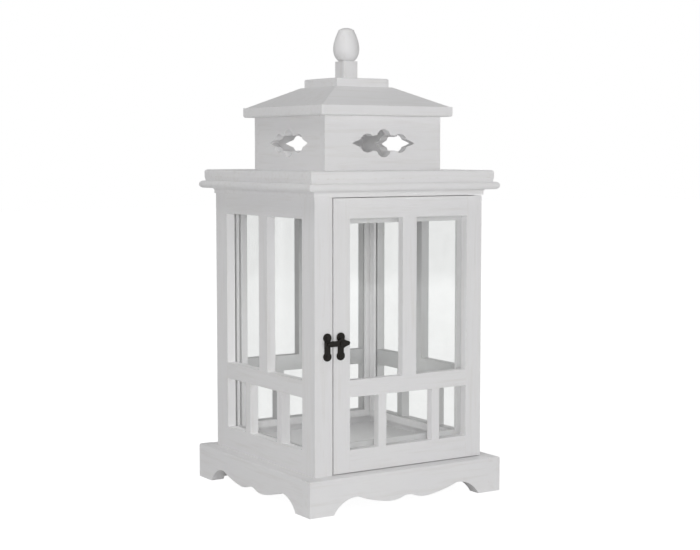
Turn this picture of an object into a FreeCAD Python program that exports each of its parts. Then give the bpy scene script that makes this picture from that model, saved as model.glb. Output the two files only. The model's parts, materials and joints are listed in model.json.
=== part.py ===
"""White painted wooden candle lantern: a glazed square body with a hinged front door,
standing on a scalloped bracket-foot skirt, under a moulded cornice, a pierced cupola,
a hipped roof and a finial.

Frame: origin at the centre of the footprint on the standing surface, +Z up, millimetres.
The door faces -Y.  A side is named front (-Y), back (+Y), left (-X) or right (+X).
On a side, u runs along it (+X or +Y), d is the distance outwards from the lantern's axis.
"""
import FreeCAD
import Part
import math
import os

V = FreeCAD.Vector
length_tolerance = 1e-6

# ---------------------------------------------------------------- driving dimensions
# body
body_width = 192.0            # outside of the four glazed sides
frame_thickness = 9.0         # left, right and back frames
frame_stile_width = 22.5      # stile as seen from outside, corner included
back_stile_width = 19.0       # both stiles of the back frame
mullion_width = 16.0          # single upright of an upper light
bar_width = 9.0               # two uprights of a lower light
bar_spacing = 62.0            # centre to centre of the two lower uprights

# heights, stacked from the standing surface upwards
skirt_height = 34.0
bottom_rail_show = 22.0       # bottom rail above the skirt
lower_light_height = 50.0
mid_rail_height = 16.0
upper_light_height = 151.0
top_rail_height = 20.0
cornice_height = 17.0
top_board_thickness = 7.0
cupola_height = 52.0
eave_thickness = 9.5
roof_rise = 19.5
cap_thickness = 8.5
finial_neck_height = 17.5
finial_bulb_height = 33.0

# skirt and what is behind it
skirt_projection = 14.0       # skirt board thickness, planted on the body
skirt_edge_radius = 2.0
foot_width = 26.0             # flat of a bracket foot along one board
arch_height = 14.5            # height of the arch beside a foot
arch_share = 0.52             # crest of the arch, as a share of half the board
arch_shoulder_share = 0.62    # height of the arch's flanks, as a share of its crest's height
arch_flank_share = 0.3        # the outer flank bends here, as a share of foot to crest
lobe_height = 6.0             # height of the lowest lobes above the surface
lobe_share = 0.2              # lowest point of a lobe, as a share of half the board
lobe_swell = 0.3              # bulge of a lobe's inner flank
middle_height = 9.5           # height of the small arch in the middle
middle_share = 0.07           # half of the small arch, as a share of half the board
frame_foot_height = 16.0      # the frames reach this far down behind the skirt
corner_block_size = 18.0
corner_block_lift = 16.0
floor_thickness = 8.0

# door and front
door_thickness = 12.0
door_stile_width = 18.0
door_bar_thickness = 7.5      # thinner members that the door's pane lies behind
door_side_gap = 1.5
door_top_gap = 0.8
door_bottom_gap = 0.8
door_back_gap = 0.5
post_width = 10.0             # fixed strip beside the door, inside the left frame
head_rail_height = 12.0
head_rail_depth = 9.0

# glazing
glass_thickness = 2.0
glass_lap = 4.0               # pane behind the wood all round, fixed frames
bead_foot = 3.0               # bead outside the pane's edge
bead_lip = 3.0                # bead thickness over the pane
door_bead_width = 5.0
glass_clearance = 0.3         # between the door's pane and its opening

# cornice, top board and cupola
cornice_projection = 12.8     # nose beyond the body
cornice_foot_projection = 1.2
cornice_foot_height = 2.0
cove_projection = 7.5
cove_height = 3.8
nose_height = 6.5
nose_top_projection = 8.5
top_board_projection = 8.5
top_board_edge_radius = 2.5
vent_width = 104.0            # square hole under the cupola
cupola_width = 133.6
cupola_panel_thickness = 9.0
cutout_half_length = 36.0     # pointed ends of the piercing
cutout_half_height = 8.0
cutout_side_radius = 9.0
cutout_side_offset = 18.5
cutout_lobe_radius = 8.0
cutout_lobe_offset = 5.5

# roof and finial
eave_projection = 8.5
eave_edge_radius = 2.0
roof_inset = 1.8              # roof block inside the eave board's edge
roof_top_width = 66.0
cap_width = 60.4
cap_edge_radius = 1.6
finial_neck_width = 16.4
finial_neck_edge_radius = 0.8
finial_collar_radius = 7.0
finial_bulb_radius = 13.0
finial_bulb_waist = 12.5      # widest point above the neck
finial_lower_level = 0.4      # a point of the side below the waist, as a share of its height
finial_lower_share = 0.88     # radius there, as a share of the widest
finial_upper_share = 0.87     # radius halfway from the waist to the tip
finial_tip_radius = 7.6
finial_tip_dome = 2.2         # height of the round top
dowel_radius = 3.0
dowel_in_finial = 13.0
dowel_in_roof = 12.0
dowel_clearance = 0.05

# hinges
hinge_height = 25.0
hinge_leaf_thickness = 1.0
hinge_leaf_width = 7.0
hinge_barrel_radius = 2.1
hinge_barrel_standoff = 2.4   # pin axis out from the wood
hinge_pin_radius = 1.0
hinge_running_clearance = 0.06
hinge_leaf_relief = 2.6       # leaf edge from the pin axis, beside the other knuckles
hinge_knuckle_gap = 0.3
hinge_middle_knuckle = 10.0
hinge_inset = 46.0            # hinge centre from the door's top and bottom
hinge_tab_reach = 0.6         # a knuckle's tab ends here, as a share of the barrel's radius
hinge_tab_relief = 0.4        # the tab stands off the wood, as a share of the leaf's thickness

# latch
latch_height = 120.0          # centre above the door's bottom edge
latch_plate_height = 26.0
latch_plate_width = 8.6
latch_plate_waist = 6.2
latch_plate_thickness = 1.0
latch_post_plate_inset = 4.4      # plate centre from the post's left edge
latch_door_plate_inset = 7.5      # plate centre from the door's latch edge
latch_pivot_rise = 3.0            # pivot and stud above the plate centres
latch_pivot_radius = 1.25
latch_pivot_head_radius = 2.3
latch_pivot_head_height = 0.9
latch_boss_radius = 3.0           # raised round on the door plate, under the hook
latch_boss_height = 1.0
latch_running_clearance = 0.06
latch_hook_thickness = 1.3
latch_hook_gap = 0.15
latch_eye_radius = 4.6
latch_arm_height = 5.2
latch_arm_overrun = 4.0           # arm beyond the stud
latch_stud_radius = 1.6
latch_stud_length = 3.6           # proud of the post plate
latch_stud_edge_radius = 0.6
latch_notch_clearance = 0.5
latch_tab_length = 6.6            # centre of the thumb tab's round end from the pivot
latch_tab_radius = 2.0

# screws
screw_radius = 1.1
screw_length = 7.0
screw_head_radius = 1.9
screw_head_height = 0.7
screw_inset = 4.0             # screw centre from a plate's or leaf's end
pilot_clearance = 0.02

# ---------------------------------------------------------------- derived levels
half_body = body_width / 2
half_inside = half_body - frame_thickness
half_skirt = half_body + skirt_projection

z_lower_light = skirt_height + bottom_rail_show
z_mid_rail = z_lower_light + lower_light_height
z_upper_light = z_mid_rail + mid_rail_height
z_top_rail = z_upper_light + upper_light_height
z_body_top = z_top_rail + top_rail_height
z_top_board = z_body_top + cornice_height
z_cupola = z_top_board + top_board_thickness
z_eave = z_cupola + cupola_height
z_roof = z_eave + eave_thickness
z_cap = z_roof + roof_rise
z_finial = z_cap + cap_thickness
z_bulb = z_finial + finial_neck_height
z_tip = z_bulb + finial_bulb_height

half_light = half_body - frame_stile_width
door_back = half_body - door_thickness            # d of the door's inner face
frame_front = door_back - door_back_gap           # d where the right frame starts behind the door
door_left = -half_inside + post_width + door_side_gap
door_right = half_body
door_bottom = skirt_height + door_bottom_gap
door_top = z_body_top - door_top_gap
door_light_left = door_left + door_stile_width
door_light_right = door_right - door_stile_width
z_latch = door_bottom + latch_height
x_post_plate = -half_inside + latch_post_plate_inset
x_door_plate = door_left + latch_door_plate_inset
hinge_levels = (door_bottom + hinge_inset, door_top - hinge_inset)
hinge_x = half_body + hinge_barrel_standoff
hinge_y = -door_back


# ---------------------------------------------------------------- helpers
def box(x0, x1, y0, y1, z0, z1):
    return Part.makeBox(x1 - x0, y1 - y0, z1 - z0, V(x0, y0, z0))


def side_box(side, u0, u1, d0, d1, z0, z1):
    """Box on a side: u along the side, d outwards from the axis."""
    if side == "front":
        return box(u0, u1, -d1, -d0, z0, z1)
    if side == "back":
        return box(u0, u1, d0, d1, z0, z1)
    if side == "left":
        return box(-d1, -d0, u0, u1, z0, z1)
    return box(d0, d1, u0, u1, z0, z1)


def turn_to_side(shape, side):
    """Turns a shape modelled on the front side round the axis onto another side."""
    angle = {"front": 0, "right": 90, "back": 180, "left": 270}[side]
    turned = shape.copy()
    turned.rotate(V(0, 0, 0), V(0, 0, 1), angle)
    return turned


def cylinder(radius, length, start, direction):
    return Part.makeCylinder(radius, length, start, direction)


def prism_from_wire(edges, direction):
    return Part.Face(Part.Wire(edges)).extrude(direction)


def mitre_wedge(reach, z0, z1):
    """The quarter of a square ring that belongs to the front side, cut on its diagonals."""
    corners = [V(0, 0, z0), V(-reach, -reach, z0), V(reach, -reach, z0), V(0, 0, z0)]
    return Part.Face(Part.makePolygon(corners)).extrude(V(0, 0, z1 - z0))


def group(solids):
    return Part.makeCompound(solids)


def same(a, b):
    return abs(a - b) < length_tolerance


parts = {}


# ---------------------------------------------------------------- skirt and floor
def skirt_board():
    """Front skirt board: bracket feet at its ends, two lobes and a small arch between them.

    Its left end covers the left board's end, and its right end butts against the right board.
    """
    y = -half_skirt
    foot = half_skirt - foot_width
    crest = half_skirt * arch_share
    lobe = half_skirt * lobe_share
    middle = half_skirt * middle_share
    shoulder = arch_height * arch_shoulder_share
    outer_bend = foot + (crest - foot) * arch_flank_share
    spring = (lobe_height + middle_height) / 2      # where a lobe meets the small arch
    inner_flank = lobe_height + (spring - lobe_height) / 4 - lobe_swell

    def at(u, z):
        return V(u, y, z)

    def straight(start, end):
        return Part.LineSegment(at(*start), at(*end)).toShape()

    def bent(start, through, end):
        return Part.Arc(at(*start), at(*through), at(*end)).toShape()

    def half_outline(s):
        """Foot, large arch and lobe of one half; s is +1 or -1."""
        return [
            straight((s * half_skirt, skirt_height), (s * half_skirt, 0)),
            straight((s * half_skirt, 0), (s * foot, 0)),
            bent((s * foot, 0), (s * outer_bend, shoulder), (s * crest, arch_height)),
            bent((s * crest, arch_height), (s * (crest + lobe) / 2, shoulder),
                 (s * lobe, lobe_height)),
            bent((s * lobe, lobe_height), (s * (lobe + middle) / 2, inner_flank),
                 (s * middle, spring)),
        ]

    edges = half_outline(1) + half_outline(-1) + [
        bent((-middle, spring), (0, middle_height), (middle, spring)),
        straight((-half_skirt, skirt_height), (half_skirt, skirt_height)),
    ]
    outline = Part.Wire(Part.__sortEdges__(edges))
    board = Part.Face(outline).extrude(V(0, skirt_projection, 0))
    board = board.common(box(-half_skirt, half_body, y, -half_body, 0, skirt_height))
    rim = [e for e in board.Edges
           if all(same(p.Point.z, skirt_height) and same(p.Point.y, y) for p in e.Vertexes)]
    return board.makeFillet(skirt_edge_radius, rim)


front_skirt = skirt_board()
for side in ("front", "back", "left", "right"):
    parts["skirt_" + side] = turn_to_side(front_skirt, side)


def corner_block(side_x, side_y):
    """Glue block behind the frames, in the corner towards side_x and side_y (+1 or -1)."""
    x_wall = side_x * half_inside
    y_wall = half_inside if side_y > 0 else -frame_front
    x0, x1 = sorted((x_wall, x_wall - side_x * corner_block_size))
    y0, y1 = sorted((y_wall, y_wall - side_y * corner_block_size))
    return box(x0, x1, y0, y1, corner_block_lift, skirt_height)


parts["corner_blocks"] = group([corner_block(side_x, side_y)
                                for side_x in (-1, 1) for side_y in (-1, 1)])
parts["floor_board"] = box(-half_inside, half_inside, -frame_front, half_inside,
                           skirt_height, skirt_height + floor_thickness)
parts["front_threshold"] = box(-half_inside, half_body, -half_body, -frame_front,
                               frame_foot_height, skirt_height)


# ---------------------------------------------------------------- glazed frames
def light_bars(side, centre, d0, d1):
    """Mullion of the upper light and the two uprights of the lower light."""
    solids = [side_box(side, centre - mullion_width / 2, centre + mullion_width / 2,
                       d0, d1, z_upper_light, z_top_rail)]
    for s in (-1, 1):
        middle = centre + s * bar_spacing / 2
        solids.append(side_box(side, middle - bar_width / 2, middle + bar_width / 2,
                               d0, d1, z_lower_light, z_mid_rail))
    return group(solids)


def fixed_frame(side, start, end, light_start, light_end):
    """Stiles, rails and bars of a fixed frame that runs from start to end along its side."""
    d0, d1 = half_inside, half_body
    first, last = ("front", "rear") if side != "back" else ("left", "right")
    z0, z1 = frame_foot_height, z_body_top
    parts[side + "_" + first + "_stile"] = side_box(side, start, light_start, d0, d1, z0, z1)
    parts[side + "_" + last + "_stile"] = side_box(side, light_end, end, d0, d1, z0, z1)
    for name, low, high in (("bottom", z0, z_lower_light), ("mid", z_mid_rail, z_upper_light),
                            ("top", z_top_rail, z1)):
        parts[side + "_" + name + "_rail"] = side_box(side, light_start, light_end,
                                                      d0, d1, low, high)
    parts[side + "_bars"] = light_bars(side, (light_start + light_end) / 2, d0, d1)


def fixed_pane(side, light_start, light_end):
    """Pane against the inside of a fixed frame."""
    return side_box(side, light_start - glass_lap, light_end + glass_lap,
                    half_inside - glass_thickness, half_inside,
                    z_lower_light - glass_lap, z_top_rail + glass_lap)


def fixed_beads(side, light_start, light_end):
    """Four rebated beads that hold a pane against its frame."""
    d0, d1 = half_inside - glass_thickness - bead_lip, half_inside
    pane = fixed_pane(side, light_start, light_end)
    reach = glass_lap + bead_foot
    u0, u1 = light_start - reach, light_end + reach
    z0, z1 = z_lower_light - reach, z_top_rail + reach
    strips = [
        side_box(side, u0, light_start, d0, d1, z0, z1),
        side_box(side, light_end, u1, d0, d1, z0, z1),
        side_box(side, light_start, light_end, d0, d1, z0, z_lower_light),
        side_box(side, light_start, light_end, d0, d1, z_top_rail, z1),
    ]
    return [strip.cut(pane) for strip in strips]


# The left frame covers both its neighbours' ends, and the back frame covers the right one's.
frame_runs = {
    "left": (-half_body, half_body, -half_light, half_light),
    "right": (-frame_front, half_inside, -half_light, half_light),
    "back": (-half_inside, half_body,
             -half_inside + back_stile_width, half_body - back_stile_width),
}
bead_solids = []
for side, (start, end, light_start, light_end) in frame_runs.items():
    fixed_frame(side, start, end, light_start, light_end)
    parts["glass_" + side] = fixed_pane(side, light_start, light_end)
    bead_solids += fixed_beads(side, light_start, light_end)
parts["glazing_beads"] = group(bead_solids)

parts["front_post"] = box(-half_inside, -half_inside + post_width, -half_body, -door_back,
                          skirt_height, z_body_top)
parts["front_head_rail"] = box(-half_inside, half_inside, -frame_front,
                               -frame_front + head_rail_depth,
                               z_body_top - head_rail_height, z_body_top)


# ---------------------------------------------------------------- door
def door_member(u0, u1, z0, z1, thickness=door_thickness):
    return side_box("front", u0, u1, half_body - thickness, half_body, z0, z1)


door_centre = (door_light_left + door_light_right) / 2
door_bar_back = half_body - door_bar_thickness
parts["door_latch_stile"] = door_member(door_left, door_light_left, door_bottom, door_top)
parts["door_hinge_stile"] = door_member(door_light_right, door_right, door_bottom, door_top)
parts["door_bottom_rail"] = door_member(door_light_left, door_light_right,
                                        door_bottom, z_lower_light)
parts["door_mid_rail"] = door_member(door_light_left, door_light_right,
                                     z_mid_rail, z_upper_light, door_bar_thickness)
parts["door_top_rail"] = door_member(door_light_left, door_light_right, z_top_rail, door_top)
parts["door_bars"] = light_bars("front", door_centre, door_bar_back, half_body)

pane_left = door_light_left + glass_clearance
pane_right = door_light_right - glass_clearance
pane_bottom = z_lower_light + glass_clearance
pane_top = z_top_rail - glass_clearance
pane_back = door_bar_back - glass_thickness
parts["glass_door"] = side_box("front", pane_left, pane_right, pane_back, door_bar_back,
                               pane_bottom, pane_top)
parts["door_beads"] = group([
    side_box("front", door_light_left, door_light_left + door_bead_width,
             door_back, pane_back, z_lower_light, z_top_rail),
    side_box("front", door_light_right - door_bead_width, door_light_right,
             door_back, pane_back, z_lower_light, z_top_rail),
    side_box("front", door_light_left + door_bead_width, door_light_right - door_bead_width,
             door_back, pane_back, z_lower_light, z_lower_light + door_bead_width),
    side_box("front", door_light_left + door_bead_width, door_light_right - door_bead_width,
             door_back, pane_back, z_top_rail - door_bead_width, z_top_rail),
])


# ---------------------------------------------------------------- cornice and top board
def cornice_length():
    """Front length of the cornice: foot, cove, rounded nose and a slope back to the top board."""
    reach = half_body + cornice_projection

    def at(d, z):
        return V(-reach, -d, z_body_top + z)

    foot = half_body + cornice_foot_projection
    cove = half_body + cove_projection
    nose_top = half_body + nose_top_projection
    z_cove = cornice_foot_height
    z_nose = z_cove + cove_height
    z_slope = z_nose + nose_height
    cove_bulge = 0.3                                  # share of the cove's chord it is hollowed by
    hollow = at((foot + cove) / 2 - cove_height * cove_bulge,
                (z_cove + z_nose) / 2 + (cove - foot) * cove_bulge)
    outline = [
        Part.LineSegment(at(half_inside, 0), at(foot, 0)),
        Part.LineSegment(at(foot, 0), at(foot, z_cove)),
        Part.Arc(at(foot, z_cove), hollow, at(cove, z_nose)),
        Part.Arc(at(cove, z_nose), at(reach, (z_nose + z_slope) / 2), at(cove, z_slope)),
        Part.LineSegment(at(cove, z_slope), at(nose_top, cornice_height)),
        Part.LineSegment(at(nose_top, cornice_height), at(half_inside, cornice_height)),
        Part.LineSegment(at(half_inside, cornice_height), at(half_inside, 0)),
    ]
    length = prism_from_wire([edge.toShape() for edge in outline], V(2 * reach, 0, 0))
    return length.common(mitre_wedge(reach, z_body_top, z_top_board))


front_cornice = cornice_length()
parts["cornice_moulding"] = group([turn_to_side(front_cornice, side)
                                   for side in ("front", "right", "back", "left")])


def rounded_board(half, z0, z1, radius, level):
    """Square board with the four outer edges at the given level rounded."""
    board = box(-half, half, -half, half, z0, z1)
    rim = [e for e in board.Edges if all(same(p.Point.z, level) for p in e.Vertexes)]
    return board.makeFillet(radius, rim)


top_board = rounded_board(half_body + top_board_projection, z_top_board, z_cupola,
                          top_board_edge_radius, z_cupola)
half_vent = vent_width / 2
parts["top_board"] = top_board.cut(
    box(-half_vent, half_vent, -half_vent, half_vent, z_top_board, z_cupola))


# ---------------------------------------------------------------- cupola
half_cupola = cupola_width / 2
half_cupola_inside = half_cupola - cupola_panel_thickness
z_cutout = z_cupola + cupola_height / 2


def cutout():
    """Pointed quatrefoil, pierced through a front panel."""
    y0 = -half_cupola
    depth = V(0, cupola_panel_thickness, 0)

    def at(u, z):
        return V(u, y0, z_cutout + z)

    def disc(u, z, radius):
        return cylinder(radius, cupola_panel_thickness, at(u, z), V(0, 1, 0))

    left, right = at(-cutout_half_length, 0), at(cutout_half_length, 0)
    lens = prism_from_wire([
        Part.Arc(left, at(0, cutout_half_height), right).toShape(),
        Part.Arc(right, at(0, -cutout_half_height), left).toShape()], depth)
    lobes = [disc(0, s * cutout_lobe_offset, cutout_lobe_radius) for s in (-1, 1)]
    lobes += [disc(s * cutout_side_offset, 0, cutout_side_radius) for s in (-1, 1)]
    return lens.multiFuse(lobes).removeSplitter()


def cupola_panel(half_width):
    panel = box(-half_width, half_width, -half_cupola, -half_cupola_inside, z_cupola, z_eave)
    return panel.cut(cutout())


for side, half_width in (("front", half_cupola), ("back", half_cupola),
                         ("left", half_cupola_inside), ("right", half_cupola_inside)):
    parts["cupola_" + side] = turn_to_side(cupola_panel(half_width), side)


# ---------------------------------------------------------------- roof and finial
half_eave = half_cupola + eave_projection
parts["eave_board"] = rounded_board(half_eave, z_eave, z_roof, eave_edge_radius, z_eave)


def square_wire(half, z):
    corners = [V(-half, -half, z), V(half, -half, z), V(half, half, z), V(-half, half, z)]
    return Part.makePolygon(corners + corners[:1])


dowel_bottom = z_cap - dowel_in_roof
dowel_top = z_finial + dowel_in_finial
dowel_hole = cylinder(dowel_radius + dowel_clearance, dowel_top - dowel_bottom,
                      V(0, 0, dowel_bottom), V(0, 0, 1))
roof_block = Part.makeLoft([square_wire(half_eave - roof_inset, z_roof),
                            square_wire(roof_top_width / 2, z_cap)], True, True)
parts["roof_block"] = roof_block.cut(dowel_hole)
parts["roof_cap"] = rounded_board(cap_width / 2, z_cap, z_finial, cap_edge_radius,
                                  z_finial).cut(dowel_hole)


def finial_shape():
    """Square neck with a turned acorn on it, in one piece."""
    half_neck = finial_neck_width / 2
    neck = box(-half_neck, half_neck, -half_neck, half_neck, z_finial, z_bulb)
    corners = [e for e in neck.Edges
               if not same(e.Vertexes[0].Point.z, e.Vertexes[1].Point.z)]
    neck = neck.makeFillet(finial_neck_edge_radius, corners)

    def at(r, z):
        return V(r, 0, z_bulb + z)

    z_shoulder = finial_bulb_height - finial_tip_dome
    side = Part.BSplineCurve()
    side.interpolate([
        at(finial_collar_radius, 0),
        at(finial_bulb_radius * finial_lower_share, finial_bulb_waist * finial_lower_level),
        at(finial_bulb_radius, finial_bulb_waist),
        at(finial_bulb_radius * finial_upper_share, (finial_bulb_waist + z_shoulder) / 2),
        at(finial_tip_radius, z_shoulder),
    ])
    dome_radius = (finial_tip_radius ** 2 + finial_tip_dome ** 2) / (2 * finial_tip_dome)
    half_angle = math.asin(finial_tip_radius / dome_radius) / 2
    dome_middle = at(dome_radius * math.sin(half_angle),
                     finial_bulb_height - dome_radius * (1 - math.cos(half_angle)))
    outline = [
        Part.LineSegment(at(0, 0), at(finial_collar_radius, 0)),
        side,
        Part.Arc(at(finial_tip_radius, z_shoulder), dome_middle, at(0, finial_bulb_height)),
        Part.LineSegment(at(0, finial_bulb_height), at(0, 0)),
    ]
    face = Part.Face(Part.Wire([edge.toShape() for edge in outline]))
    bulb = face.revolve(V(0, 0, 0), V(0, 0, 1), 360)
    return neck.fuse(bulb).cut(dowel_hole)


parts["finial"] = finial_shape()
parts["finial_dowel"] = cylinder(dowel_radius, dowel_top - dowel_bottom,
                                 V(0, 0, dowel_bottom), V(0, 0, 1))


# ---------------------------------------------------------------- screws
def screw(head_at, direction):
    """Round-headed wood screw; head_at is on the plate's face, direction goes into the wood."""
    head = cylinder(screw_head_radius, screw_head_height,
                    head_at - direction * screw_head_height, direction)
    return head.fuse(cylinder(screw_radius, screw_length, head_at, direction))


def pilot(head_at, direction):
    return cylinder(screw_radius + pilot_clearance, screw_length + pilot_clearance,
                    head_at, direction)


frame_screw_places, door_screw_places = [], []


# ---------------------------------------------------------------- hinges
def hinge_axis_cylinder(radius, z0, z1):
    return cylinder(radius, z1 - z0, V(hinge_x, hinge_y, z0), V(0, 0, 1))


def hinge_leaf(z_centre, sign, own, other):
    """One leaf flat on the right side; sign is +1 behind the pin (frame) and -1 before it (door).

    own and other are the stretches of barrel that belong to this leaf and to the other one.
    """
    z0, z1 = z_centre - hinge_height / 2, z_centre + hinge_height / 2
    x0, x1 = half_body, half_body + hinge_leaf_thickness
    near = hinge_y + sign * hinge_leaf_relief
    far = hinge_y + sign * (hinge_leaf_relief + hinge_leaf_width)
    leaf = box(x0, x1, min(near, far), max(near, far), z0, z1)
    tab_end = hinge_y + sign * hinge_barrel_radius * hinge_tab_reach
    tab_back = x0 + hinge_leaf_thickness * hinge_tab_relief
    for a, b in own:
        tab = box(tab_back, x1, min(near, tab_end), max(near, tab_end), a, b)
        leaf = leaf.fuse(tab).fuse(hinge_axis_cylinder(hinge_barrel_radius, a, b))
    bore = hinge_pin_radius + hinge_running_clearance
    leaf = leaf.cut(hinge_axis_cylinder(bore, z0, z1))
    for a, b in other:
        leaf = leaf.cut(hinge_axis_cylinder(hinge_barrel_radius + hinge_knuckle_gap,
                                            a - hinge_knuckle_gap, b + hinge_knuckle_gap))
    direction = V(-1, 0, 0)
    for z in (z0 + screw_inset, z1 - screw_inset):
        place = (V(x1, (near + far) / 2, z), direction)
        (frame_screw_places if sign > 0 else door_screw_places).append(place)
        leaf = leaf.cut(pilot(*place))
    return leaf


frame_leaves, door_leaves, pins = [], [], []
for z_centre in hinge_levels:
    low, high = z_centre - hinge_height / 2, z_centre + hinge_height / 2
    middle = (z_centre - hinge_middle_knuckle / 2, z_centre + hinge_middle_knuckle / 2)
    ends = [(low, middle[0] - hinge_knuckle_gap), (middle[1] + hinge_knuckle_gap, high)]
    frame_leaves.append(hinge_leaf(z_centre, 1, ends, [middle]))
    door_leaves.append(hinge_leaf(z_centre, -1, [middle], ends))
    pins.append(hinge_axis_cylinder(hinge_pin_radius, low, high))
parts["hinge_frame_leaves"] = group(frame_leaves)
parts["hinge_door_leaves"] = group(door_leaves)
parts["hinge_pins"] = group(pins)


# ---------------------------------------------------------------- latch
plate_face = -half_body - latch_plate_thickness      # y of both plates' outer faces
hook_back = plate_face - latch_boss_height - latch_hook_gap
hook_front = hook_back - latch_hook_thickness
z_pivot = z_latch + latch_pivot_rise
outwards = V(0, -1, 0)
inwards = V(0, 1, 0)


def latch_plate(x_centre, screw_places):
    """Upright plate: two round ends with a screw in each, joined by a narrower waist."""
    end_radius = latch_plate_width / 2
    end_offset = latch_plate_height / 2 - end_radius
    half_waist = latch_plate_waist / 2
    plate = box(x_centre - half_waist, x_centre + half_waist, plate_face, -half_body,
                z_latch - end_offset, z_latch + end_offset)
    for s in (-1, 1):
        end = V(x_centre, plate_face, z_latch + s * end_offset)
        plate = plate.fuse(cylinder(end_radius, latch_plate_thickness, end, inwards))
    plate = plate.removeSplitter()
    for s in (-1, 1):
        place = (V(x_centre, plate_face, z_latch + s * (latch_plate_height / 2 - screw_inset)),
                 inwards)
        screw_places.append(place)
        plate = plate.cut(pilot(*place))
    return plate


stud_total = latch_plate_thickness + latch_stud_length
stud = cylinder(latch_stud_radius, stud_total, V(x_post_plate, -half_body, z_pivot), outwards)
stud_end = -half_body - stud_total
stud_tip = [e for e in stud.Edges if all(same(p.Point.y, stud_end) for p in e.Vertexes)]
parts["latch_stud"] = stud.makeFillet(latch_stud_edge_radius, stud_tip)
parts["latch_post_plate"] = latch_plate(x_post_plate, frame_screw_places).cut(stud)

boss = cylinder(latch_boss_radius, latch_boss_height, V(x_door_plate, plate_face, z_pivot),
                outwards)
pivot_hole = cylinder(latch_pivot_radius, latch_plate_thickness + latch_boss_height,
                      V(x_door_plate, -half_body, z_pivot), outwards)
parts["latch_door_plate"] = latch_plate(x_door_plate, door_screw_places).fuse(boss).cut(pivot_hole)

head_start = hook_front - latch_hook_gap
pivot_length = -head_start - half_body
pivot_stem = cylinder(latch_pivot_radius, pivot_length, V(x_door_plate, -half_body, z_pivot),
                      outwards)
pivot_head = cylinder(latch_pivot_head_radius, latch_pivot_head_height,
                      V(x_door_plate, head_start, z_pivot), outwards)
parts["latch_pivot"] = pivot_stem.fuse(pivot_head)


def latch_hook():
    """Eye on the pivot, an arm with a notch that drops over the stud, and a thumb tab."""
    half_arm = latch_arm_height / 2
    arm_end = x_post_plate - latch_arm_overrun + half_arm

    def slab(x0, x1, z0, z1):
        return box(x0, x1, hook_front, hook_back, z0, z1)

    def disc(x, z, radius):
        return cylinder(radius, latch_hook_thickness, V(x, hook_back, z), outwards)

    arm = slab(arm_end, x_door_plate, z_pivot - half_arm, z_pivot + half_arm)
    tab_end = x_door_plate + latch_tab_length
    tab = Part.Face(Part.makePolygon([
        V(x_door_plate, hook_back, z_pivot + latch_eye_radius),
        V(tab_end, hook_back, z_pivot + latch_tab_radius),
        V(tab_end, hook_back, z_pivot - latch_tab_radius),
        V(x_door_plate, hook_back, z_pivot - latch_eye_radius),
        V(x_door_plate, hook_back, z_pivot + latch_eye_radius),
    ])).extrude(outwards * latch_hook_thickness)
    hook = arm.multiFuse([
        disc(arm_end, z_pivot, half_arm),
        disc(x_door_plate, z_pivot, latch_eye_radius),
        tab,
        disc(tab_end, z_pivot, latch_tab_radius),
    ]).removeSplitter()
    notch_half = latch_stud_radius + latch_notch_clearance
    notch = slab(x_post_plate - notch_half, x_post_plate + notch_half,
                 z_pivot - latch_arm_height, z_pivot)
    notch = notch.fuse(disc(x_post_plate, z_pivot, notch_half))
    bore = disc(x_door_plate, z_pivot, latch_pivot_radius + latch_running_clearance)
    return hook.cut(notch).cut(bore)


parts["latch_hook"] = latch_hook()

parts["frame_screws"] = group([screw(*place) for place in frame_screw_places])
parts["door_screws"] = group([screw(*place) for place in door_screw_places])
for node in ("right_front_stile", "front_post"):
    for place in frame_screw_places:
        parts[node] = parts[node].cut(pilot(*place))
for node in ("door_hinge_stile", "door_latch_stile"):
    for place in door_screw_places:
        parts[node] = parts[node].cut(pilot(*place))


# ---------------------------------------------------------------- export
os.makedirs("parts", exist_ok=True)
for name, shape in parts.items():
    solids = shape.Solids
    assert solids and all(s.isValid() and s.Volume > 0 for s in solids), name
    out = solids[0] if len(solids) == 1 else Part.makeCompound(solids)
    out.exportStep(os.path.join("parts", name + ".step"))
print(len(parts), "nodes,", sum(len(s.Solids) for s in parts.values()), "solids, height", z_tip)
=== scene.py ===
"""Looks for the white wooden candle lantern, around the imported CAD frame.

Every CAD node keeps its own shape.  This script rounds the edges of the wood and metal a little,
keeps the panes clear of the wood they touch, and gives each piece a procedural material.  Then it
sets the floor, the light and the camera.  Metres; the door faces -Y, and the floor is at 0.
"""

import json
import math

import bpy
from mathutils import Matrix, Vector


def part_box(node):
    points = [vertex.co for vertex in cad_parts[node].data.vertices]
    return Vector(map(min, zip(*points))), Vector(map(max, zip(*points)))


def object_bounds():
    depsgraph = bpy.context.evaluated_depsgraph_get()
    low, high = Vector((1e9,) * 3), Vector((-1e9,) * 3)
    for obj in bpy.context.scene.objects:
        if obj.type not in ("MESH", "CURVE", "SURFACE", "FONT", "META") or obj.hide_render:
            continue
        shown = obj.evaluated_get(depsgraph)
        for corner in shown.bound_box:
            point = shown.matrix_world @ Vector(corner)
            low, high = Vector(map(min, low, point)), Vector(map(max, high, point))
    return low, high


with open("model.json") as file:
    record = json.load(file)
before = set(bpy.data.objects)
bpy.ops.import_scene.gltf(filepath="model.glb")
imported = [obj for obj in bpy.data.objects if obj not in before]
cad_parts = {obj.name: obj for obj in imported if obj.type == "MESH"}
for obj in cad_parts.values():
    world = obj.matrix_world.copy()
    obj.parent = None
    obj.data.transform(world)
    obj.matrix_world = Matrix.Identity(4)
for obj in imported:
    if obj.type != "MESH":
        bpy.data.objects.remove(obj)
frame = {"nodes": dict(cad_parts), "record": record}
cad_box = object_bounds()
nodes = frame["nodes"]

# ---------------------------------------------------------------- sizes
low, high = (Vector(corner) for corner in cad_box)
lantern_height = high.z - low.z
lantern_middle = Vector((0, 0, lantern_height / 2))

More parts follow.
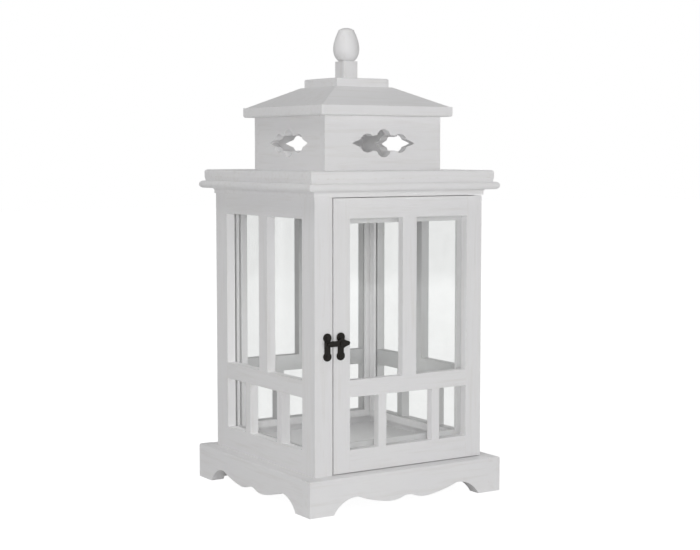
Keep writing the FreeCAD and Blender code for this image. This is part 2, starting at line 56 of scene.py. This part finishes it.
wood_edge_radius = 0.0007      # worn, painted arris
cut_edge_radius = 0.0004       # sawn edge of the cupola and its cut-outs
metal_edge_radius = 0.0002
hard_edge_angle = math.radians(35)      # an edge with a gentler turn than this isn't rounded
pane_air_gap = 0.0001          # keeps a pane's faces just clear of the wood it lies against


# ---------------------------------------------------------------- node-tree helpers
class Shader:
    """Short way to build one material's node tree."""

    def __init__(self, name):
        self.material = bpy.data.materials.new(name)
        self.material.use_nodes = True
        self.tree = self.material.node_tree
        self.surface = self.tree.nodes["Principled BSDF"]
        self.output = self.tree.nodes["Material Output"]

    def node(self, kind, inputs=None, **settings):
        """Adds a node; its inputs are keyed by name, or by number where a name repeats."""
        node = self.tree.nodes.new(kind)
        for key, value in settings.items():
            setattr(node, key, value)
        for key, value in (inputs or {}).items():
            self.set(node.inputs[key], value)
        return node

    def set(self, socket, value):
        """Links another socket to this one, or gives it a plain value."""
        if isinstance(value, bpy.types.NodeSocket):
            self.tree.links.new(value, socket)
        else:
            socket.default_value = value

    def finish(self, **inputs):
        """Fills in the Principled surface's inputs, such as Base_Color, and gives the material."""
        for key, value in inputs.items():
            self.set(self.surface.inputs[key.replace("_", " ")], value)
        return self.material

    def place(self, scale=(1, 1, 1)):
        """Object coordinates, stretched by scale; the object's space is the lantern's, in metres."""
        coordinates = self.node("ShaderNodeTexCoord").outputs["Object"]
        return self.node("ShaderNodeMapping", {"Vector": coordinates, "Scale": scale}).outputs["Vector"]

    def noise(self, vector, scale, detail, roughness=0.5):
        return self.node("ShaderNodeTexNoise", {
            "Vector": vector, "Scale": scale, "Detail": detail, "Roughness": roughness,
        }).outputs["Fac"]

    def ramp(self, value, start, end):
        """Black below start, white above end."""
        ramp = self.node("ShaderNodeValToRGB", {"Fac": value})
        ramp.color_ramp.elements[0].position = start
        ramp.color_ramp.elements[1].position = end
        return ramp.outputs["Color"]

    def math(self, operation, a, b):
        node = self.node("ShaderNodeMath", operation=operation)
        self.set(node.inputs[0], a)
        self.set(node.inputs[1], b)
        return node.outputs["Value"]

    def mix(self, share, a, b):
        """Colour a where share is 0, b where it is 1."""
        colour_a, colour_b, colour_out = 6, 7, 2      # places of the colour sockets in a Mix node
        node = self.node("ShaderNodeMix", {"Factor": share}, data_type="RGBA")
        self.set(node.inputs[colour_a], a)
        self.set(node.inputs[colour_b], b)
        return node.outputs[colour_out]

    def blend(self, share, a, b):
        """Surface a where share is 0, b where it is 1."""
        return self.node("ShaderNodeMixShader", {0: share, 1: a, 2: b}).outputs["Shader"]

    def span(self, value, least, most):
        """Value 0..1 stretched to least..most."""
        return self.node("ShaderNodeMapRange", {
            "Value": value, "To Min": least, "To Max": most,
        }).outputs["Result"]

    def bump(self, height, distance, strength, normal=None):
        """Relief as a normal; with a normal given, it lies on top of that one."""
        inputs = {"Height": height, "Distance": distance, "Strength": strength}
        if normal is not None:
            inputs["Normal"] = normal
        return self.node("ShaderNodeBump", inputs).outputs["Normal"]

    def edges(self, radius):
        """About 1 on arrises and 0 on flats, from the normal that a small bevel would give."""
        bevel_rays = 6
        bevel = self.node("ShaderNodeBevel", {"Radius": radius}, samples=bevel_rays).outputs["Normal"]
        flat = self.node("ShaderNodeNewGeometry").outputs["Normal"]
        dot = self.node("ShaderNodeVectorMath", {0: bevel, 1: flat}, operation="DOT_PRODUCT")
        return self.math("SUBTRACT", 1.0, dot.outputs["Value"])


def grain_stretch(axis):
    """Mapping scale that draws a pattern out along one axis of the lantern."""
    along, across = 0.06, 1.0
    return tuple(along if i == "XYZ".index(axis) else across for i in range(3))


# ---------------------------------------------------------------- materials
def painted_wood(axis):
    """White brushed paint over wood whose grain runs along the given axis."""
    white = (0.87, 0.865, 0.86, 1)
    cool_white = (0.84, 0.835, 0.85, 1)
    grain_tint = (0.77, 0.755, 0.735, 1)
    rubbed_tint = (0.60, 0.55, 0.49, 1)
    grain_strength = 0.55
    rubbed_edge_radius = 0.0012
    rubbed_strength = 1.6
    brush_share = 0.6              # height of the brush marks, where the grain's is 1
    relief_depth = 0.0004
    speck_depth = 0.00005

    s = Shader("white_paint_grain_" + axis)
    along = s.place(grain_stretch(axis))
    plain = s.place()
    brush = s.noise(along, scale=900.0, detail=4.0, roughness=0.6)
    grain = s.noise(along, scale=220.0, detail=5.0, roughness=0.65)
    cloud = s.noise(plain, scale=14.0, detail=2.0)
    speck = s.noise(plain, scale=1500.0, detail=2.0)
    patches = s.noise(plain, scale=260.0, detail=4.0)

    paint = s.mix(cloud, white, cool_white)
    grain_lines = s.math("MULTIPLY", s.ramp(grain, start=0.50, end=0.72), grain_strength)
    paint = s.mix(grain_lines, paint, grain_tint)
    rubbed = s.math("MULTIPLY", s.edges(rubbed_edge_radius), s.ramp(patches, start=0.56, end=0.70))
    paint = s.mix(s.math("MULTIPLY", rubbed, rubbed_strength), paint, rubbed_tint)

    relief = s.math("ADD", s.math("MULTIPLY", brush, brush_share), grain)
    normal = s.bump(relief, relief_depth, strength=0.8)
    normal = s.bump(speck, speck_depth, strength=0.5, normal=normal)
    return s.finish(Base_Color=paint, Roughness=s.span(brush, least=0.42, most=0.58),
                    Normal=normal, IOR=1.48)


def clear_glass():
    """Thin sheet glass: it lets light straight through, mirrors more at a slant, and holds dust."""
    through_colour = (0.965, 0.968, 0.966, 1)
    dust_colour = (0.8, 0.8, 0.79, 1)
    head_on_share = 0.03           # of the light that is mirrored, looking straight at the pane
    slant_power = 5.0              # Schlick's rule for how that share grows at a slant
    dust_share = 0.025
    wave_depth = 0.0006
    wave_stretch = (1, 1, 0.4)     # the waves of drawn glass run upright

    s = Shader("clear_sheet_glass")
    s.tree.nodes.remove(s.surface)
    facing = s.node("ShaderNodeLayerWeight", {"Blend": 0.5}).outputs["Facing"]
    slant = s.math("MULTIPLY", s.math("POWER", facing, slant_power), 1.0 - head_on_share)
    mirror_share = s.math("ADD", slant, head_on_share)
    wave = s.noise(s.place(wave_stretch), scale=16.0, detail=1.0)
    film = s.ramp(s.noise(s.place(), scale=45.0, detail=5.0), start=0.45, end=0.9)

    through = s.node("ShaderNodeBsdfTransparent", {"Color": through_colour}).outputs["BSDF"]
    mirror = s.node("ShaderNodeBsdfGlossy", {
        "Color": (1, 1, 1, 1), "Roughness": 0.03, "Normal": s.bump(wave, wave_depth, strength=0.25),
    }).outputs["BSDF"]
    dust = s.node("ShaderNodeBsdfDiffuse", {"Color": dust_colour}).outputs["BSDF"]
    pane = s.blend(mirror_share, through, mirror)
    dusty_pane = s.blend(s.math("MULTIPLY", film, dust_share), pane, dust)
    s.set(s.output.inputs["Surface"], dusty_pane)
    return s.material


def black_metal():
    """Blackened steel of the latch and hinges, rubbed brown along its edges."""
    black = (0.010, 0.009, 0.008, 1)
    grey_black = (0.030, 0.026, 0.021, 1)
    worn_brown = (0.16, 0.12, 0.08, 1)
    worn_edge_radius = 0.0005
    pit_depth = 0.00006

    s = Shader("blackened_metal")
    plain = s.place()
    blotch = s.noise(plain, scale=420.0, detail=4.0)
    pits = s.noise(plain, scale=2600.0, detail=3.0)
    worn = s.math("MULTIPLY", s.edges(worn_edge_radius), s.ramp(blotch, start=0.40, end=0.62))
    colour = s.mix(blotch, black, grey_black)
    colour = s.mix(worn, colour, worn_brown)
    return s.finish(Base_Color=colour, Metallic=0.6, Roughness=s.span(blotch, least=0.36, most=0.58),
                    Normal=s.bump(pits, pit_depth, strength=0.5))


def bare_wood():
    """Unpainted pine of the hidden glue blocks and the dowel."""
    dark_pine = (0.50, 0.36, 0.21, 1)
    pale_pine = (0.66, 0.52, 0.34, 1)
    grain_depth = 0.0002

    s = Shader("bare_pine")
    grain = s.noise(s.place(grain_stretch("Z")), scale=260.0, detail=5.0, roughness=0.6)
    colour = s.mix(grain, dark_pine, pale_pine)
    return s.finish(Base_Color=colour, Roughness=s.span(grain, least=0.55, most=0.75),
                    Normal=s.bump(grain, grain_depth, strength=0.5))


# ---------------------------------------------------------------- dressing the CAD nodes
def soften(obj, radius, segments=3):
    """Rounds the hard edges of a CAD node."""
    bevel = obj.modifiers.new("soft_edges", "BEVEL")
    bevel.width = radius
    bevel.segments = segments
    bevel.limit_method = "ANGLE"
    bevel.angle_limit = hard_edge_angle
    bevel.harden_normals = True


def draw_in(obj, gap):
    """Sets all faces of a box-shaped pane back by the gap."""
    shrink = obj.modifiers.new("air_gap", "DISPLACE")
    shrink.mid_level = 0
    shrink.strength = -gap * math.sqrt(3)      # a corner moves slantwise to its three faces


def grain_axis(name):
    """Grain runs along the longest side of the piece."""
    corner, far = (Vector(p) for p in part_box(name))
    size = far - corner
    return "XYZ"[max(range(3), key=lambda i: size[i])]


slot_of = {s["node"]: s["material_slot"] for s in frame["record"]["subparts"]}
wood = {axis: painted_wood(axis) for axis in "XYZ"}
others = {"glass": clear_glass(), "black_metal": black_metal(), "bare_wood": bare_wood()}
for name, obj in nodes.items():
    slot = slot_of[name]
    material = wood[grain_axis(name)] if slot == "white_painted_wood" else others[slot]
    obj.data.materials.clear()
    obj.data.materials.append(material)
    if slot == "black_metal":
        soften(obj, metal_edge_radius, segments=2)
    elif slot == "glass":
        draw_in(obj, pane_air_gap)
    else:
        soften(obj, cut_edge_radius if name.startswith("cupola") else wood_edge_radius)


# ---------------------------------------------------------------- floor, light and camera
def stage_floor():
    """Pale floor: it lights the lantern from below, and is burnt out to white where looked at."""
    size = lantern_height * 30
    dull_ground = (0.90, 0.90, 0.90, 1)
    pale_ground = (0.92, 0.92, 0.92, 1)
    looked_at_ground = (0.18, 0.18, 0.18, 1)      # dark, because the glow below is added to it
    looked_at_glow = 0.96

    bpy.ops.mesh.primitive_plane_add(size=size, location=(0, 0, low.z))
    floor = bpy.context.object
    floor.name = "studio_floor"
    s = Shader("pale_floor")
    colour = s.mix(s.noise(s.place(), scale=3.0, detail=2.0), dull_ground, pale_ground)
    looked_at = s.node("ShaderNodeLightPath").outputs["Is Camera Ray"]
    floor.data.materials.append(s.finish(
        Base_Color=s.mix(looked_at, colour, looked_at_ground), Roughness=0.9,
        Emission_Color=(1, 1, 1, 1), Emission_Strength=s.math("MULTIPLY", looked_at, looked_at_glow)))


def studio_world():
    """White surroundings: full white where looked at, and about a quarter of that as light."""
    light_strength = 0.26
    looked_at_strength = 1.0

    world = bpy.data.worlds.new("studio")
    world.use_nodes = True
    tree = world.node_tree
    as_light = tree.nodes["Background"]
    looked_at = tree.nodes.new("ShaderNodeBackground")
    for background, strength in ((as_light, light_strength), (looked_at, looked_at_strength)):
        background.inputs["Color"].default_value = (1, 1, 1, 1)
        background.inputs["Strength"].default_value = strength
    chooser = tree.nodes.new("ShaderNodeMixShader")
    rays = tree.nodes.new("ShaderNodeLightPath")
    share, first, second = chooser.inputs
    tree.links.new(rays.outputs["Is Camera Ray"], share)
    tree.links.new(as_light.outputs["Background"], first)
    tree.links.new(looked_at.outputs["Background"], second)
    tree.links.new(chooser.outputs["Shader"], tree.nodes["World Output"].inputs["Surface"])
    bpy.context.scene.world = world


def soft_light(name, place, size, watts):
    """Square soft box aimed at the lantern, and not seen by the camera."""
    lamp = bpy.data.lights.new(name, "AREA")
    lamp.energy = watts
    lamp.size = size
    obj = bpy.data.objects.new(name, lamp)
    obj.location = place
    obj.rotation_euler = (lantern_middle - Vector(place)).to_track_quat("-Z", "Y").to_euler()
    obj.visible_camera = False
    bpy.context.collection.objects.link(obj)


def inner_light(height, radius, watts):
    """Faint round lamp inside the lantern, as a photographer hides one, so the inside isn't dull."""
    lamp = bpy.data.lights.new("inner_lamp", "POINT")
    lamp.energy = watts
    lamp.shadow_soft_size = radius
    obj = bpy.data.objects.new("inner_lamp", lamp)
    obj.location = (0, 0, height)
    obj.visible_camera = False
    obj.visible_glossy = False
    bpy.context.collection.objects.link(obj)


def camera():
    """The photograph's view: a long lens, to the front-left, a little above the middle."""
    place = Vector((-0.8069, -1.2589, 0.3344))
    yaw = math.radians(32.8)           # turned right from straight at the door
    pitch = math.radians(4.694)        # tipped down
    focal_length = 76.9                # millimetres, as is the sensor
    sensor_width = 36

    ahead = Vector((math.sin(yaw), math.cos(yaw), 0)) * math.cos(pitch)
    ahead.z = -math.sin(pitch)
    lens = bpy.data.cameras.new("camera")
    lens.lens = focal_length
    lens.sensor_width = sensor_width
    obj = bpy.data.objects.new("camera", lens)
    obj.location = place
    obj.rotation_euler = ahead.to_track_quat("-Z", "Y").to_euler()
    bpy.context.collection.objects.link(obj)
    bpy.context.scene.camera = obj


stage_floor()
studio_world()
soft_light("front_box", place=(-1.3, -2.05, 0.45), size=0.5, watts=16)
soft_light("left_box", place=(-2.4, -0.5, 0.8), size=1.2, watts=3)
soft_light("right_box", place=(1.2, -2.1, 0.6), size=0.8, watts=7)
soft_light("top_box", place=(-0.9, -0.3, 2.3), size=1.0, watts=12)
soft_light("back_box", place=(1.9, 1.7, 0.8), size=1.0, watts=7)
inner_light(height=lantern_height * 0.30, radius=0.03, watts=0.11)
camera()
bpy.context.scene.view_settings.view_transform = "Standard"
